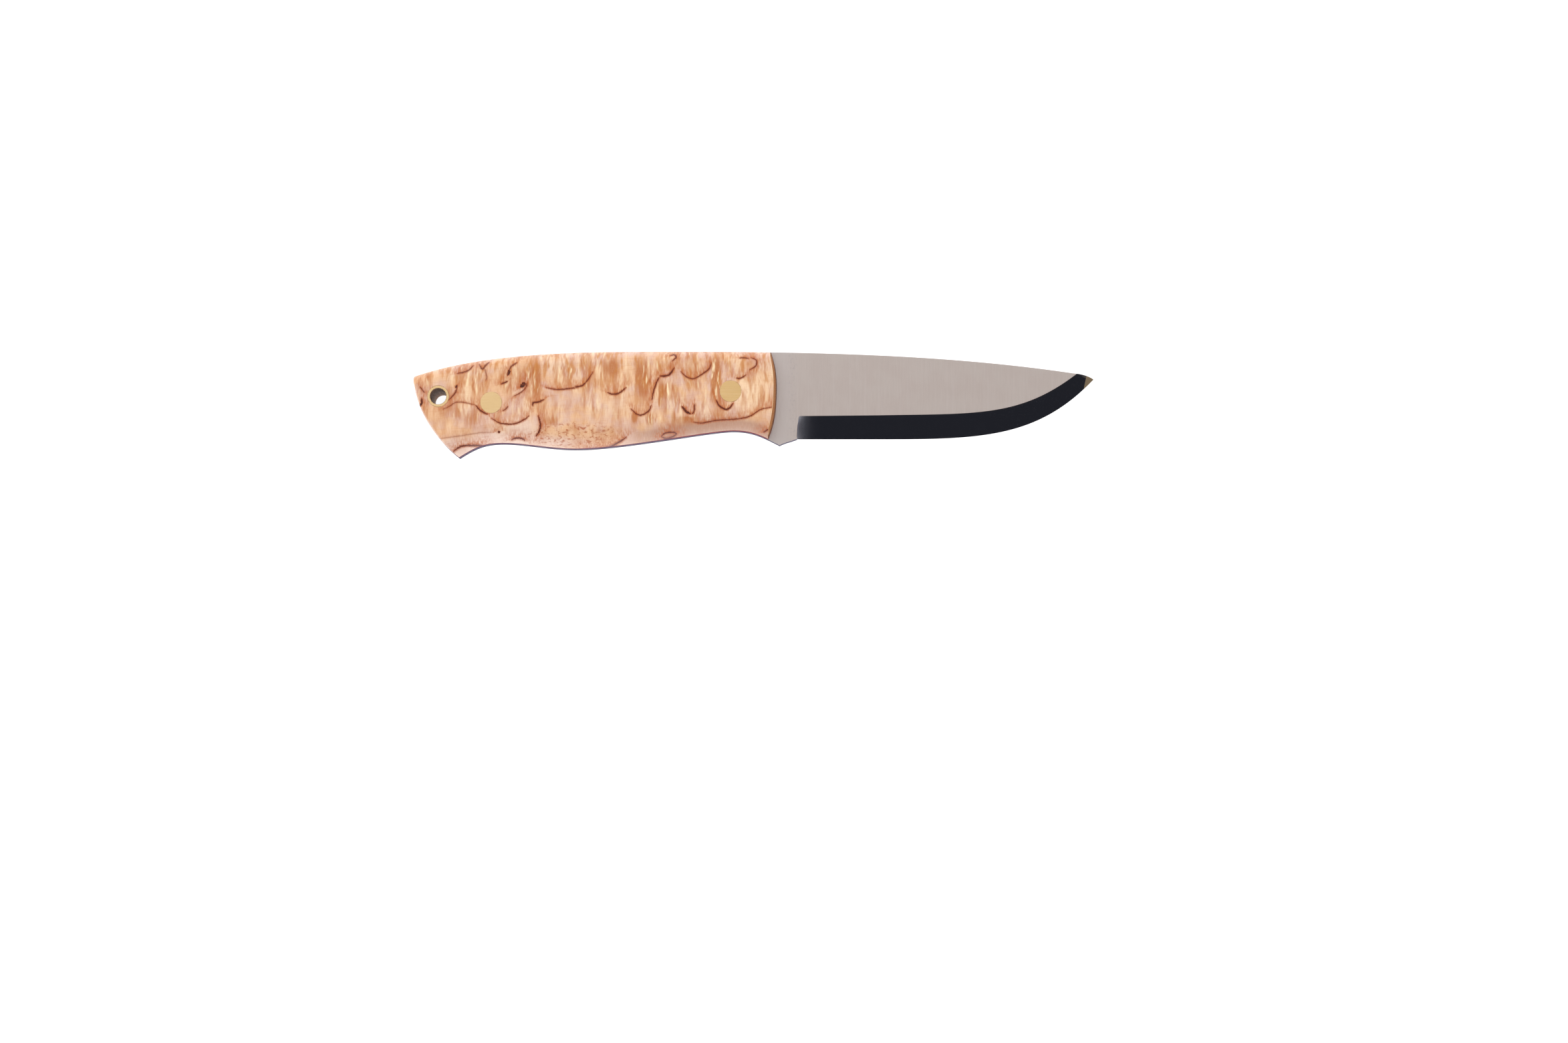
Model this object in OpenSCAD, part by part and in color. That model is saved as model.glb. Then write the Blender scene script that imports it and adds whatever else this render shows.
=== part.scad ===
// Full-tang whittling knife with a Scandi grind, pinned wooden scales and a lanyard tube.
// It lies on its left side: +X points to the tip, +Y to the spine, +Z out of its right side.

/* [Blade] */
// Length from the front of the handle to the tip
blade_length = 94.4; // [85:0.1:110]
// Height of the blade from the edge to the spine
blade_width = 26; // [24:0.1:29]
// Thickness of the steel
steel_thickness = 3.6; // [2.8:0.1:4.6]
// Width of the ground bevel at the straight edge
bevel_width = 7; // [5.5:0.1:8]
// Length of unground steel in front of the handle
ricasso_length = 6.1; // [5:0.1:9]

/* [Handle] */
// Length from the front of the handle to the butt
handle_length = 107.9; // [98:0.1:120]
// Thickness across both wooden scales
handle_thickness = 20; // [17:0.1:24]
// Thickness of each fibre liner
liner_thickness = 0.8; // [0.4:0.1:1.5]
// Height that each scale loses towards the blade
front_taper = 0.7; // [0:0.1:1.2]
// Distance that the front of each scale slopes back
front_slope = 0.9; // [0:0.1:1.5]
// Width of the rounding along the spine
spine_round = 4; // [2.5:0.1:5]
// Width of the rounding along the belly
belly_round = 6; // [4:0.1:6.5]
// Radius of the scales' edge at the butt
butt_round = 1; // [0.5:0.1:2]

/* [Pins] */
// Diameter of the two handle pins
pin_d = 6.35; // [4.5:0.05:7]
// Outside diameter of the lanyard tube
tube_d = 6.35; // [5.5:0.05:7]
// Bore of the lanyard tube
tube_bore = 4.8; // [3:0.1:5]
// Diameter of the lightening holes in the tang
relief_d = 7; // [4:0.5:8]

/* [Hidden] */
$fn = 96;

STEEL = [0.70, 0.67, 0.65];
FIBRE = [0.46, 0.16, 0.19];
BIRCH = [0.86, 0.68, 0.54];
BRASS = [0.89, 0.76, 0.56];

half_steel = steel_thickness / 2;
half_handle = handle_thickness / 2;
scale_base = half_steel + liner_thickness;
scale_height = half_handle - scale_base;

// Exponent of the scales' rounded corners, and how far their quarter curves start below the
// liner, as a share of the scale's height, so that the wood leans in from the liner
round_power = 2.2;
round_sink = 0.25;

// Steps along each long curve of the outline, and along its short ones
curve_steps = 14;
choil_steps = 6;
corner_steps = 4;
drop_steps = 2;
tip_steps = 6;

// Steps along a scale, around each rounded corner, across its side and around its butt's edge
scale_steps = 48;
round_steps = 7;
side_steps = 5;
butt_steps = 4;

// Places in fractions of the handle's length behind its front, or of the blade's length before
// it, and of the blade's height above the straight edge
function on_handle(u, v) = [-u * handle_length, v * blade_width];
function on_blade(u, v) = [u * blade_length, v * blade_width];
function on_ricasso(u, v) = [u * ricasso_length, v * blade_width];

function mix(a, b, t) = a + (b - a) * t;
function bezier_at(p, t) = let (s = 1 - t)
    s * s * s * p[0] + 3 * s * s * t * p[1] + 3 * s * t * t * p[2] + t * t * t * p[3];
function bezier(p, steps, from = 0, to = 1) = [for (i = [0:steps]) bezier_at(p, mix(from, to, i / steps))];
function tail(list) = [for (i = [1:len(list) - 1]) list[i]];
function turned(list) = [for (i = [len(list) - 1:-1:0]) list[i]];

// The knife's outline, one curve after another
spine_end = on_handle(0.278, 1);
butt_top = on_handle(0.9925, 0.717);
hook_tip = on_handle(0.873, -0.221);
guard_tip = on_ricasso(0.148, -0.074);
tip = on_blade(1, 0.688);
plunge_foot = on_ricasso(1, 0);
belly_start = on_blade(0.317, 0);

blade_spine = bezier([spine_end, on_blade(0.096, 1), on_blade(0.529, 0.973), on_blade(0.935, 0.752)],
                     2 * curve_steps);
choil = bezier([guard_tip, on_ricasso(0.45, -0.036), on_ricasso(0.72, -0.03), plunge_foot], choil_steps);
guard_back = bezier([on_handle(0.119, 0.087), on_handle(0.065, 0.087), on_handle(0.039, 0.024), guard_tip],
                    curve_steps);
palm = bezier([on_handle(0.551, -0.121), on_handle(0.425, -0.121), on_handle(0.184, 0.087),
               on_handle(0.119, 0.087)], curve_steps);
neck = bezier([on_handle(0.751, -0.056), on_handle(0.692, -0.056), on_handle(0.626, -0.121),
               on_handle(0.551, -0.121)], curve_steps);
hook = bezier([hook_tip, on_handle(0.83, -0.107), on_handle(0.806, -0.056), on_handle(0.751, -0.056)],
              curve_steps);
butt_corner = bezier([butt_top, on_handle(0.997, 0.71), on_handle(0.996, 0.685), on_handle(0.9955, 0.66)],
                     corner_steps);
butt = bezier([on_handle(0.9955, 0.66), on_handle(0.984, 0.26), on_handle(0.9305, -0.039), hook_tip],
              curve_steps);
handle_spine = bezier([butt_top, on_handle(0.795, 1.01), on_handle(0.504, 1), spine_end], 2 * curve_steps);

// The tip, where the spine drops to meet the edge, and the edge's curve up to it. The bevel
// reaches the spine part of the way along each.
tip_drop = [on_blade(0.935, 0.752), on_blade(0.951, 0.748), on_blade(0.98, 0.737), tip];
edge_curve = [belly_start, on_blade(0.643, 0), on_blade(0.821, 0.007), tip];
drop_share = 0.2;
edge_share = 0.955;
bevel_end = bezier_at(tip_drop, drop_share);

// The bevel's top line, from the plunge to the spine. The plunge leans forward as it rises, and
// reaches a little less than the bevel's full width.
plunge_lean = 0.5;
plunge_rise = 0.97;
plunge_top = plunge_foot + [plunge_lean, plunge_rise * bevel_width];
bevel_start = belly_start + [0, bevel_width];
bevel_curve = [bevel_start, bevel_start + [0.313 * blade_length, 0.022 * blade_width],
               [0.765 * blade_length, bevel_width - 0.026 * blade_width], bevel_end];

handle_belly = concat(hook, tail(neck), tail(palm), tail(guard_back));
butt_line = concat(butt_corner, tail(butt));

// The box of the outline, for an origin at the middle of its base
low_x = min([for (p = butt_line) p[0]]);
low_y = hook_tip[1];
high_y = max([for (p = concat(handle_spine, blade_spine)) p[1]]);
centre = [(low_x + tip[0]) / 2, (low_y + high_y) / 2];

// Pins, tube and lightening holes
front_pin_at = on_handle(0.126, 0.512);
rear_pin_at = on_handle(0.781, 0.383);
tube_at = on_handle(0.926, 0.454);
relief_at = [on_handle(0.28, 0.5), on_handle(0.42, 0.47), on_handle(0.56, 0.42)];

// The scales' outer corners on the spine and the belly, and the bulge of their front
scale_top_x = -1.7;
scale_foot_x = -2.5;
front_bulge = 2.1;
front_power = 2.5;
front_flat_x = -9;

// How fast the bow of the butt, the bulge of the front and its slope fade out along a scale
butt_fade = 5;
bulge_fade = 8;
slope_fade = 20;

// Points where the spine, belly and butt cross a given place
function spine_y(x) = lookup(x, [for (p = concat(handle_spine, tail(blade_spine))) p]);
function belly_y(x) = lookup(x, handle_belly);
function butt_x(y) = lookup(y, [for (p = turned(butt_line)) [p[1], p[0]]]);

// A scale's plan: u runs from its front to the butt and v from the spine to the belly
function on_spine(u) = let (x = mix(scale_top_x, butt_top[0], u)) [x, spine_y(x)];
function on_belly(u) = let (x = mix(scale_foot_x, hook_tip[0], u)) [x, belly_y(x)];
function butt_bow(v) = butt_x(mix(butt_top[1], hook_tip[1], v)) - mix(butt_top[0], hook_tip[0], v);
function front_bow(v) = front_bulge * (1 - pow(abs(2 * v - 1), front_power));
function plan(u, v) = mix(on_spine(u), on_belly(u), v)
    + [pow(u, butt_fade) * butt_bow(v) + pow(1 - u, bulge_fade) * front_bow(v), 0];

// One quarter of a rounded corner, from the liner at 0 to the flat side at 1, as [share of
// its width, share of the scale's height]
round_start = asin(pow(round_sink / (1 + round_sink), round_power / 2));
round_reach = pow(cos(round_start), 2 / round_power);
function corner(t) = let (a = mix(round_start, 90, t))
    [1 - pow(cos(a), 2 / round_power) / round_reach,
     (1 + round_sink) * pow(sin(a), 2 / round_power) - round_sink];

// A scale's cross-section as [v, share of height] from the spine over to the belly
function section(width) = concat(
    [for (i = [0:round_steps - 1]) let (c = corner(i / round_steps)) [c[0] * spine_round / width, c[1]]],
    [for (i = [0:side_steps]) [mix(spine_round / width, 1 - belly_round / width, i / side_steps), 1]],
    [for (i = [round_steps - 1:-1:0])
        let (c = corner(i / round_steps)) [1 - c[0] * belly_round / width, c[1]]]
);
section_count = 2 * round_steps + side_steps + 1;

// Stations along a scale as [u, share of height]: evenly spaced, then around the butt's edge
butt_share = butt_round / handle_length;
stations = concat(
    [for (i = [0:scale_steps - 1]) [i / scale_steps * (1 - butt_share), 1]],
    [for (i = [0:butt_steps]) let (a = 90 * i / butt_steps)
        [1 - butt_share * (1 - sin(a)), 1 - butt_round / scale_height * (1 - cos(a))]]
);

// Height of a scale's side, which falls a little from the front pin to the blade
function side_height(x) = scale_height
    - front_taper * pow(max(0, 1 - x / front_flat_x), 2);

function station_points(s) =
    let (width = norm(on_spine(s[0]) - on_belly(s[0])))
    [for (c = section(width))
        let (p = plan(s[0], c[0]), z = c[1] * s[1] * side_height(p[0]))
        [p[0] - front_slope * pow(1 - s[0], slope_fade) * c[1], p[1], z]];

function base_of(points) = [for (p = points) [p[0], p[1], 0]];

module knife_frame() {
    translate([-centre[0], -centre[1], half_handle]) children();
}

module mirrored_side() {
    mirror([0, 0, 1]) children();
}

// A scale's wood: a skin of stations, with its ends and its base closed
module scale_body() {
    rows = [for (s = stations) station_points(s)];
    n = section_count;
    last = len(rows) - 1;
    front_row = [for (c = section(norm(on_spine(0) - on_belly(0)))) concat(plan(0, c[0]), 0)];
    points = concat([for (row = rows) each row], front_row, base_of(rows[last]));
    front_0 = len(rows) * n;
    butt_0 = front_0 + n;
    skin = [for (i = [0:last - 1], j = [0:n - 2])
        each [[i * n + j, i * n + j + 1, (i + 1) * n + j],
              [i * n + j + 1, (i + 1) * n + j + 1, (i + 1) * n + j]]];
    front_wall = [for (j = [0:n - 2])
        each [[j + 1, j, front_0 + j], [front_0 + j + 1, j + 1, front_0 + j]]];
    butt_wall = [for (j = [0:n - 2])
        each [[last * n + j, last * n + j + 1, butt_0 + j], [last * n + j + 1, butt_0 + j + 1, butt_0 + j]]];
    base = concat([for (j = [0:n - 1]) front_0 + j],
                  [for (i = [1:last]) i * n + n - 1],
                  [for (j = [n - 2:-1:1]) butt_0 + j],
                  [for (i = [last:-1:1]) i * n]);
    polyhedron(points, concat(skin, front_wall, butt_wall, [base]));
}

// The outline of a scale where it meets its liner
module scale_outline() {
    across = [for (j = [0:2 * curve_steps]) j / (2 * curve_steps)];
    along = [for (i = [1:2 * scale_steps]) i / (2 * scale_steps)];
    polygon(concat([for (v = across) plan(0, v)],
                   [for (u = along) plan(u, 1)],
                   [for (v = turned(across)) plan(1, v)],
                   [for (u = turned(along)) plan(u, 0)]));
}

module hole(at, d) {
    translate([at[0], at[1], -handle_thickness]) cylinder(h = 2 * handle_thickness, d = d);
}

module pin_holes() {
    hole(front_pin_at, pin_d);
    hole(rear_pin_at, pin_d);
    hole(tube_at, tube_d);
}

module scale() {
    difference() {
        translate([0, 0, scale_base]) scale_body();
        pin_holes();
    }
}

module liner() {
    difference() {
        translate([0, 0, half_steel]) linear_extrude(liner_thickness) scale_outline();
        pin_holes();
    }
}

// The steel's full-thickness outline, from the foot of the plunge round the handle and along
// the spine to the place where the bevel meets it
blank_line = concat(turned(choil), tail(turned(handle_belly)), tail(turned(butt_line)),
                    tail(handle_spine), tail(blade_spine), tail(bezier(tip_drop, drop_steps, 0, drop_share)));
edge_line = concat([plunge_foot], bezier(edge_curve, 2 * curve_steps, 0, edge_share));
bevel_line = concat([plunge_top], bezier(bevel_curve, 2 * curve_steps));
tip_edge = tail(bezier(edge_curve, tip_steps, edge_share, 1));
tip_spine = tail(bezier(tip_drop, tip_steps, drop_share, 1));

// The steel without its holes: flat sides, a bevel ground from both sides down to the edge, and
// a tip whose spine thins to nothing
module ground_steel() {
    nb = len(blank_line);
    nv = len(bevel_line) - 1;
    ne = len(edge_line);
    nt = tip_steps - 1;
    tip_width = norm(bevel_end - edge_line[ne - 1]);
    spine_z = [for (i = [0:nt - 1]) half_steel * norm(tip_spine[i] - tip_edge[i]) / tip_width];
    side = [for (p = concat(blank_line, [for (i = [0:nv - 1]) bevel_line[i]])) concat(p, half_steel)];
    drop = [for (i = [0:nt - 1]) concat(tip_spine[i], spine_z[i])];
    right = concat(side, drop);
    left = [for (p = right) [p[0], p[1], -p[2]]];
    edge = [for (p = concat(edge_line, tip_edge)) concat(p, 0)];
    // Index of the right side's point i on either side, and of the edge's point i
    half = len(right);
    e0 = 2 * half;
    bevel = concat([for (i = [0:nv - 1]) nb + i], [nb - 1]);
    spine = concat([nb - 1], [for (i = [0:nt - 1]) nb + nv + i]);
    flat = concat([for (i = [0:nb - 1]) i], [for (i = [nv - 1:-1:0]) nb + i]);
    grind = [for (i = [0:ne - 2])
        each [[e0 + i, e0 + i + 1, bevel[i + 1]], [e0 + i, bevel[i + 1], bevel[i]]]];
    point = concat(
        [for (i = [0:nt - 1])
            let (a = e0 + ne - 1 + i)
            each [[a, a + 1, spine[i + 1]], [a, spine[i + 1], spine[i]]]],
        [[e0 + ne - 1 + nt, e0 + ne + nt, spine[nt]]]);
    plunge = [[0, e0, bevel[0]]];
    one_side = concat([turned(flat)], grind, point, plunge);
    other_side = [for (f = one_side) [for (i = turned(f)) i < half ? i + half : i]];
    wall = [for (i = [1:nb - 2]) [i, i + 1, half + i + 1, half + i]];
    first_wall = [[0, 1, half + 1, half, e0]];
    tip_wall = [for (i = [0:nt - 1]) [spine[i], spine[i + 1], half + spine[i + 1], half + spine[i]]];
    last_wall = [[spine[nt], e0 + ne + nt, half + spine[nt]]];
    faces = concat(one_side, other_side, wall, first_wall, tip_wall, last_wall);
    polyhedron(concat(right, left, edge), [for (f = faces) turned(f)]);
}

module blade() {
    color(STEEL) knife_frame() difference() {
        ground_steel();
        pin_holes();
        for (at = relief_at) hole(at, relief_d);
    }
}

module right_liner() {
    color(FIBRE) knife_frame() liner();
}

module left_liner() {
    color(FIBRE) knife_frame() mirrored_side() liner();
}

module right_scale() {
    color(BIRCH) knife_frame() scale();
}

module left_scale() {
    color(BIRCH) knife_frame() mirrored_side() scale();
}

// A rod that ends flush with the scales' sides
module rod(at, d) {
    translate([at[0], at[1], -half_handle]) cylinder(h = handle_thickness, d = d);
}

module front_pin() {
    color(BRASS) knife_frame() rod(front_pin_at, pin_d);
}

module rear_pin() {
    color(BRASS) knife_frame() rod(rear_pin_at, pin_d);
}

module lanyard_tube() {
    color(BRASS) knife_frame() difference() {
        rod(tube_at, tube_d);
        hole(tube_at, tube_bore);
    }
}

blade();
right_liner();
left_liner();
right_scale();
left_scale();
front_pin();
rear_pin();
lanyard_tube();
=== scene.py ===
"""Looks of the whittling knife: steel, curly birch scales, fibre liners and brass, built around the frame."""

import math

import bmesh
import bpy
import numpy as np
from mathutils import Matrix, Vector

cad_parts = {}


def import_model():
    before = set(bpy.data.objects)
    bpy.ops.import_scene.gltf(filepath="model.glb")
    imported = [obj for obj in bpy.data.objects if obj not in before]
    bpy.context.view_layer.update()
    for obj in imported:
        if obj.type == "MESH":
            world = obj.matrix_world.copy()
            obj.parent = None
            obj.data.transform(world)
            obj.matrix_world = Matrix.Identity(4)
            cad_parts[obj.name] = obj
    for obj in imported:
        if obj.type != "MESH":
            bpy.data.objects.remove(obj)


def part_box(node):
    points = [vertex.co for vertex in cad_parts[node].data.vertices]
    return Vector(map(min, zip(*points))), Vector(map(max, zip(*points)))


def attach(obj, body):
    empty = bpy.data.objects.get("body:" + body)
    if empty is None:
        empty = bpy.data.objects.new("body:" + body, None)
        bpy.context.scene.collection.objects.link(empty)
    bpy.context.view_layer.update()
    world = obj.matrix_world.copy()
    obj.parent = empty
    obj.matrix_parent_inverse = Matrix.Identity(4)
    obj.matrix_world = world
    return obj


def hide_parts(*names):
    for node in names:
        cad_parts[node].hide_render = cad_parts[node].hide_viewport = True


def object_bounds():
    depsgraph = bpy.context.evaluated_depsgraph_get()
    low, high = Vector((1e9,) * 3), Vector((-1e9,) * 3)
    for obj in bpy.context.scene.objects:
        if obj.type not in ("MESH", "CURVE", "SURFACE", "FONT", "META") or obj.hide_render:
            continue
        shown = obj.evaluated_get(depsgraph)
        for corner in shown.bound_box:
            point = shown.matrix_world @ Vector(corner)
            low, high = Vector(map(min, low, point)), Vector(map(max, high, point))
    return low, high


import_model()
cad_bounds = [list(corner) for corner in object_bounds()]

MM = 0.001

# ---------------------------------------------------------------- the knife's design, in millimetres
# The design's own axes: x is 0 at the front of the handle, y is 0 at the straight cutting edge and
# z is 0 in the middle of the steel. HOME is where that point lies in the frame.
BLADE_LOW, BLADE_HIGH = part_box("blade")
HANDLE_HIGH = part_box("right_scale")[1]
BLADE_LENGTH = 94.4
HANDLE_LENGTH = 107.9
BLADE_WIDTH = 26.0
BEVEL_WIDTH = 7.0
RICASSO_LENGTH = 6.1
LINER_THICKNESS = (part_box("right_liner")[1].z - BLADE_HIGH.z) / MM
HALF_STEEL = (BLADE_HIGH.z - BLADE_LOW.z) / MM / 2
HALF_HANDLE = HANDLE_HIGH.z / MM / 2
HOOK_DROP = 0.221 * BLADE_WIDTH
HOME = Vector((BLADE_HIGH.x / MM - BLADE_LENGTH, BLADE_LOW.y / MM + HOOK_DROP, HALF_HANDLE))
SCALE_BASE = HALF_STEEL + LINER_THICKNESS
SCALE_HEIGHT = HALF_HANDLE - SCALE_BASE

FRONT_TAPER = 0.7
FRONT_SLOPE = 0.9
SPINE_ROUND = 4.0
BELLY_ROUND = 6.0
BUTT_ROUND = 1.0
PIN_D = 6.35
TUBE_BORE = 4.8


def on_handle(u, v):
    return np.array([-u * HANDLE_LENGTH, v * BLADE_WIDTH])


def on_blade(u, v):
    return np.array([u * BLADE_LENGTH, v * BLADE_WIDTH])


def on_ricasso(u, v):
    return np.array([u * RICASSO_LENGTH, v * BLADE_WIDTH])


def mix(a, b, t):
    return a + (b - a) * t


def bezier(points, steps, start=0.0, end=1.0):
    t = np.linspace(start, end, steps + 1)[:, None]
    s = 1 - t
    a, b, c, d = points
    return s**3 * a + 3 * s * s * t * b + 3 * s * t * t * c + t**3 * d


def chain(*curves):
    return np.vstack([curves[0]] + [curve[1:] for curve in curves[1:]])


CURVE_STEPS = 60
CHOIL_STEPS = 16
CORNER_STEPS = 12
SPINE_END = on_handle(0.278, 1)
BUTT_TOP = on_handle(0.9925, 0.717)
BUTT_EDGE = on_handle(0.9955, 0.66)
HOOK_TIP = on_handle(0.873, -0.221)
NECK = on_handle(0.751, -0.056)
SWELL = on_handle(0.551, -0.121)
GROOVE = on_handle(0.119, 0.087)
GUARD_TIP = on_ricasso(0.148, -0.074)
TIP = on_blade(1, 0.688)
PLUNGE_FOOT = on_ricasso(1, 0)
BELLY_START = on_blade(0.317, 0)
DROP_START = on_blade(0.935, 0.752)

blade_spine = bezier([SPINE_END, on_blade(0.096, 1), on_blade(0.529, 0.973), DROP_START], 2 * CURVE_STEPS)
tip_drop = [DROP_START, on_blade(0.951, 0.748), on_blade(0.98, 0.737), TIP]
edge_curve = [BELLY_START, on_blade(0.643, 0), on_blade(0.821, 0.007), TIP]
choil = bezier([GUARD_TIP, on_ricasso(0.45, -0.036), on_ricasso(0.72, -0.03), PLUNGE_FOOT], CHOIL_STEPS)
guard_back = bezier([GROOVE, on_handle(0.065, 0.087), on_handle(0.039, 0.024), GUARD_TIP], CURVE_STEPS)
palm = bezier([SWELL, on_handle(0.425, -0.121), on_handle(0.184, 0.087), GROOVE], CURVE_STEPS)
neck = bezier([NECK, on_handle(0.692, -0.056), on_handle(0.626, -0.121), SWELL], CURVE_STEPS)
hook = bezier([HOOK_TIP, on_handle(0.83, -0.107), on_handle(0.806, -0.056), NECK], CURVE_STEPS)
butt_corner = bezier([BUTT_TOP, on_handle(0.997, 0.71), on_handle(0.996, 0.685), BUTT_EDGE], CORNER_STEPS)
butt = bezier([BUTT_EDGE, on_handle(0.984, 0.26), on_handle(0.9305, -0.039), HOOK_TIP], CURVE_STEPS)
handle_spine = bezier([BUTT_TOP, on_handle(0.795, 1.01), on_handle(0.504, 1), SPINE_END], 2 * CURVE_STEPS)

handle_belly = chain(hook, neck, palm, guard_back)
butt_line = chain(butt_corner, butt)
spine_line = chain(handle_spine, blade_spine)

DROP_SHARE = 0.2
EDGE_SHARE = 0.955
BEVEL_END = bezier(tip_drop, 1, 0, DROP_SHARE)[-1]
PLUNGE_TOP = PLUNGE_FOOT + [0.5, 0.97 * BEVEL_WIDTH]
BEVEL_START = BELLY_START + [0, BEVEL_WIDTH]
bevel_curve = [BEVEL_START, BEVEL_START + [0.313 * BLADE_LENGTH, 0.022 * BLADE_WIDTH],
               np.array([0.765 * BLADE_LENGTH, BEVEL_WIDTH - 0.026 * BLADE_WIDTH]), BEVEL_END]

FRONT_PIN_AT = on_handle(0.126, 0.512)
REAR_PIN_AT = on_handle(0.781, 0.383)
TUBE_AT = on_handle(0.926, 0.454)
RELIEFS_AT = [on_handle(0.28, 0.5), on_handle(0.42, 0.47), on_handle(0.56, 0.42)]
RELIEF_D = 7.0

SCALE_TOP_X = -1.7
SCALE_FOOT_X = -2.5
FRONT_BULGE = 2.1
FRONT_POWER = 2.5
FRONT_FLAT_X = -9.0
BUTT_FADE = 5
BULGE_FADE = 8
SLOPE_FADE = 20
ROUND_POWER = 2.2
ROUND_SINK = 0.25


# ---------------------------------------------------------------- mesh helpers
def in_frame(points):
    """Design millimetres to frame metres."""
    return (np.asarray(points, float) + np.array(HOME)) * MM


def inside_cad(points):
    """Points in the frame, with the finer curves' few micrometres beyond the CAD's box taken off."""
    return np.clip(points, *cad_bounds)


def make_piece(name, points, faces, material, node):
    mesh = bpy.data.meshes.new(name)
    mesh.from_pydata(inside_cad(in_frame(points)).tolist(), [], [list(map(int, face)) for face in faces])
    mesh.validate()
    piece = bpy.data.objects.new(name, mesh)
    bpy.context.scene.collection.objects.link(piece)
    recalculate_normals(mesh)
    mesh.materials.append(material)
    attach(piece, "root")
    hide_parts(node)
    return piece


def recalculate_normals(mesh):
    edit = bmesh.new()
    edit.from_mesh(mesh)
    bmesh.ops.remove_doubles(edit, verts=edit.verts, dist=1e-7)
    bmesh.ops.recalc_face_normals(edit, faces=edit.faces)
    edit.to_mesh(mesh)
    edit.free()


def smooth(piece, angle):
    """Smooth shading, broken at edges sharper than the angle in degrees."""
    mesh = piece.data
    mesh.polygons.foreach_set("use_smooth", [True] * len(mesh.polygons))
    mesh.set_sharp_from_angle(angle=math.radians(angle))


def grid_faces(rows, columns, first=0):
    return [(first + i * columns + j, first + i * columns + j + 1,
             first + (i + 1) * columns + j + 1, first + (i + 1) * columns + j)
            for i in range(rows - 1) for j in range(columns - 1)]


def lathe(profile, at, segments=128):
    """A ring of the profile's (radius, z) points, turned about an upright axis and closed on itself."""
    points, faces = [], []
    count = len(profile)
    for k in range(segments):
        angle = 2 * math.pi * k / segments
        points += [(at[0] + r * math.cos(angle), at[1] + r * math.sin(angle), z) for r, z in profile]
    for k in range(segments):
        here, there = k * count, (k + 1) % segments * count
        for j in range(count):
            after = (j + 1) % count
            faces.append((here + j, there + j, there + after, here + after))
    return points, faces


CUTTER_REACH = 15
CUTTER_SEGMENTS = 96


def cutter(at, diameter):
    radius, reach = diameter / 2, CUTTER_REACH
    points, faces = lathe([(0, -reach), (radius, -reach), (radius, reach), (0, reach)], at, CUTTER_SEGMENTS)
    mesh = bpy.data.meshes.new("cutter")
    mesh.from_pydata(in_frame(points).tolist(), [], faces)
    recalculate_normals(mesh)
    tool = bpy.data.objects.new("cutter", mesh)
    bpy.context.scene.collection.objects.link(tool)
    return tool


PIN_HOLES = [(FRONT_PIN_AT, PIN_D), (REAR_PIN_AT, PIN_D), (TUBE_AT, PIN_D)]


def drill(piece, holes):
    """Cuts upright holes of (place, diameter) through a piece."""
    for at, diameter in holes:
        tool = cutter(at, diameter)
        cut = piece.modifiers.new("drill", "BOOLEAN")
        cut.operation = "DIFFERENCE"
        cut.solver = "EXACT"
        cut.object = tool
        bpy.context.view_layer.update()
        result = bpy.data.meshes.new_from_object(piece.evaluated_get(bpy.context.evaluated_depsgraph_get()))
        piece.modifiers.remove(cut)
        old = piece.data
        piece.data = result
        bpy.data.meshes.remove(old)
        bpy.data.objects.remove(tool)


# ---------------------------------------------------------------- material helpers
def srgb(red, green, blue):
    """An sRGB colour of 0 to 255 as linear RGBA."""
    def linear(c):
        c /= 255
        return c / 12.92 if c <= 0.04045 else ((c + 0.055) / 1.055) ** 2.4
    return (linear(red), linear(green), linear(blue), 1.0)


# Where a Mix node keeps its two colours and its mixed colour: its numbers and vectors come first
COLOUR_SOCKETS = (6, 7)
COLOUR_RESULT = 2


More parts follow.
